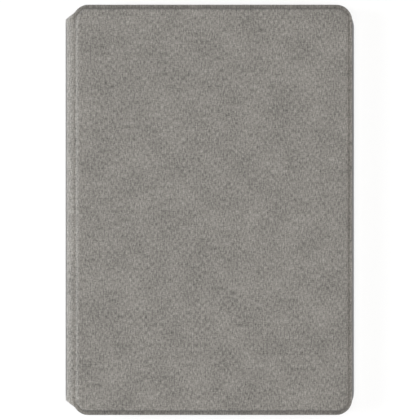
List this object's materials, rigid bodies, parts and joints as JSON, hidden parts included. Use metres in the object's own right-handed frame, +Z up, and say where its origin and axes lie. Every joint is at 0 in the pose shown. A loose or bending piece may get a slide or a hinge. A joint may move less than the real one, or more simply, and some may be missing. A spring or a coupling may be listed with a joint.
{
  "type": "tablet keyboard case",
  "caption": "Folio case for a tablet: moulded back case with kickstand, cloth spine with magnetic dock strip, and a fabric-covered keyboard cover with trackpad.",
  "frame": {"origin": "centre of the closed case's footprint, on the table under its back", "axes": "+Z up out of the cover, +Y along the long side (the typist's left), +X from the spine to the free edge"},
  "size_m": [0.1788, 0.254, 0.018],
  "materials": {
    "bumper": "fine matt texture",
    "steel": "satin",
    "plate_plastic": "moulded",
    "outer_fabric": "fine heather weave",
    "lining": "brushed microfibre",
    "camera_trim": "polished chamfer",
    "magnet": "nickel plated",
    "hinge_steel": "satin",
    "rubber": "matt",
    "button": "satin",
    "gold_contact": "gold plated",
    "board": "smooth",
    "flex_cable": "polyimide film",
    "crease_fabric": "fine heather weave",
    "chassis": "fine texture",
    "membrane": "clear film over circuit",
    "dome_rubber": "silicone",
    "circuit_board": "solder mask",
    "deck": "soft-touch",
    "switch_metal": "satin",
    "trackpad_glass": "etched satin",
    "keycap": "fine texture"
  },
  "bodies": {
    "back_case": {"bumper_frame": "bumper", "dock_keepers": "steel", "back_plate": "plate_plastic", "back_fabric": "outer_fabric", "tray_lining": "lining", "camera_ring": "camera_trim", "catch_magnets": "magnet", "hinge_brackets": "hinge_steel", "hinge_pins": "hinge_steel"},
    "kickstand": {"kickstand_leaves": "hinge_steel", "kickstand_plate": "plate_plastic", "kickstand_fabric": "outer_fabric", "kickstand_foot": "rubber", "catch_plates": "steel"},
    "power_button": {"power_button": "button"},
    "volume_up_button": {"volume_up_button": "button"},
    "volume_down_button": {"volume_down_button": "button"},
    "dock": {"dock_bar": "plate_plastic", "dock_magnets": "magnet", "dock_fabric": "outer_fabric", "dock_lining": "lining"},
    "contacts": {"contact_pins": "gold_contact"},
    "spine": {"spine_fabric": "outer_fabric", "spine_board": "board", "spine_lining": "lining", "spine_flex": "flex_cable", "cover_crease": "crease_fabric", "dock_crease": "crease_fabric"},
    "cover": {"cover_fabric": "outer_fabric", "cover_board": "board", "cover_lining": "lining", "keyboard_chassis": "chassis", "module_screws": "steel", "module_magnets": "magnet", "key_plate": "steel", "key_membrane": "membrane", "rubber_domes": "dome_rubber", "controller_board": "circuit_board", "keyboard_deck": "deck", "rest_pads": "rubber", "trackpad_bracket": "steel", "trackpad_switch": "switch_metal"},
    "trackpad": {"trackpad": "trackpad_glass"},
    "arrow_keys": {"arrow_keys": "keycap"},
    "backspace_key": {"backspace_key": "keycap"},
    "caps_lock_key": {"caps_lock_key": "keycap"},
    "enter_key": {"enter_key": "keycap"},
    "function_keys": {"function_keys": "keycap"},
    "home_letter_keys": {"home_letter_keys": "keycap"},
    "left_shift_key": {"left_shift_key": "keycap"},
    "lower_letter_keys": {"lower_letter_keys": "keycap"},
    "modifier_keys": {"modifier_keys": "keycap"},
    "number_keys": {"number_keys": "keycap"},
    "right_shift_key": {"right_shift_key": "keycap"},
    "space_bar": {"space_bar": "keycap"},
    "tab_key": {"tab_key": "keycap"},
    "upper_letter_keys": {"upper_letter_keys": "keycap"}
  },
  "joints": [
    {"name": "cover_hinge", "type": "hinge", "parent": "spine", "child": "cover", "pos_m": [-0.08768, 0, 0.01543], "axis": [0, -1, 0], "range_deg": [0, 90], "deforming": ["cover_crease"]},
    {"name": "dock_hinge", "type": "hinge", "parent": "dock", "child": "spine", "pos_m": [-0.08768, 0, 0.00257], "axis": [0, -1, 0], "range_deg": [0, 90], "deforming": ["dock_crease"]},
    {"name": "dock_slide", "type": "slide", "parent": "back_case", "child": "dock", "axis": [-1, 0, 0], "range_m": [0, 0.03]},
    {"name": "kickstand_hinge", "type": "hinge", "parent": "back_case", "child": "kickstand", "pos_m": [0.006, 0, 0.001], "axis": [0, -1, 0], "range_deg": [0, 95]},
    {"name": "dock_contacts_spring", "type": "slide", "parent": "dock", "child": "contacts", "axis": [-1, 0, 0], "range_m": [0, 0.0008], "stiffness_N_per_m": 600},
    {"name": "power_button_press", "type": "slide", "parent": "back_case", "child": "power_button", "axis": [0, -1, 0], "range_m": [0, 0.0004], "stiffness_N_per_m": 2000},
    {"name": "volume_up_press", "type": "slide", "parent": "back_case", "child": "volume_up_button", "axis": [0, -1, 0], "range_m": [0, 0.0004], "stiffness_N_per_m": 2000},
    {"name": "volume_down_press", "type": "slide", "parent": "back_case", "child": "volume_down_button", "axis": [0, -1, 0], "range_m": [0, 0.0004], "stiffness_N_per_m": 2000},
    {"name": "trackpad_click", "type": "slide", "parent": "cover", "child": "trackpad", "axis": [0, 0, 1], "range_m": [0, 0.0003], "stiffness_N_per_m": 3000},
    {"name": "press_arrow", "type": "slide", "parent": "cover", "child": "arrow_keys", "axis": [0, 0, 1], "range_m": [0, 0.001], "stiffness_N_per_m": 2000},
    {"name": "press_backspace", "type": "slide", "parent": "cover", "child": "backspace_key", "axis": [0, 0, 1], "range_m": [0, 0.001], "stiffness_N_per_m": 500},
    {"name": "press_caps_lock", "type": "slide", "parent": "cover", "child": "caps_lock_key", "axis": [0, 0, 1], "range_m": [0, 0.001], "stiffness_N_per_m": 500},
    {"name": "press_enter", "type": "slide", "parent": "cover", "child": "enter_key", "axis": [0, 0, 1], "range_m": [0, 0.001], "stiffness_N_per_m": 500},
    {"name": "press_function", "type": "slide", "parent": "cover", "child": "function_keys", "axis": [0, 0, 1], "range_m": [0, 0.001], "stiffness_N_per_m": 7000},
    {"name": "press_home_letter", "type": "slide", "parent": "cover", "child": "home_letter_keys", "axis": [0, 0, 1], "range_m": [0, 0.001], "stiffness_N_per_m": 5500},
    {"name": "press_left_shift", "type": "slide", "parent": "cover", "child": "left_shift_key", "axis": [0, 0, 1], "range_m": [0, 0.001], "stiffness_N_per_m": 500},
    {"name": "press_lower_letter", "type": "slide", "parent": "cover", "child": "lower_letter_keys", "axis": [0, 0, 1], "range_m": [0, 0.001], "stiffness_N_per_m": 5000},
    {"name": "press_modifier", "type": "slide", "parent": "cover", "child": "modifier_keys", "axis": [0, 0, 1], "range_m": [0, 0.001], "stiffness_N_per_m": 3000},
    {"name": "press_number", "type": "slide", "parent": "cover", "child": "number_keys", "axis": [0, 0, 1], "range_m": [0, 0.001], "stiffness_N_per_m": 6000},
    {"name": "press_right_shift", "type": "slide", "parent": "cover", "child": "right_shift_key", "axis": [0, 0, 1], "range_m": [0, 0.001], "stiffness_N_per_m": 500},
    {"name": "press_space", "type": "slide", "parent": "cover", "child": "space_bar", "axis": [0, 0, 1], "range_m": [0, 0.001], "stiffness_N_per_m": 500},
    {"name": "press_tab", "type": "slide", "parent": "cover", "child": "tab_key", "axis": [0, 0, 1], "range_m": [0, 0.001], "stiffness_N_per_m": 500},
    {"name": "press_upper_letter", "type": "slide", "parent": "cover", "child": "upper_letter_keys", "axis": [0, 0, 1], "range_m": [0, 0.001], "stiffness_N_per_m": 6500}
  ]
}
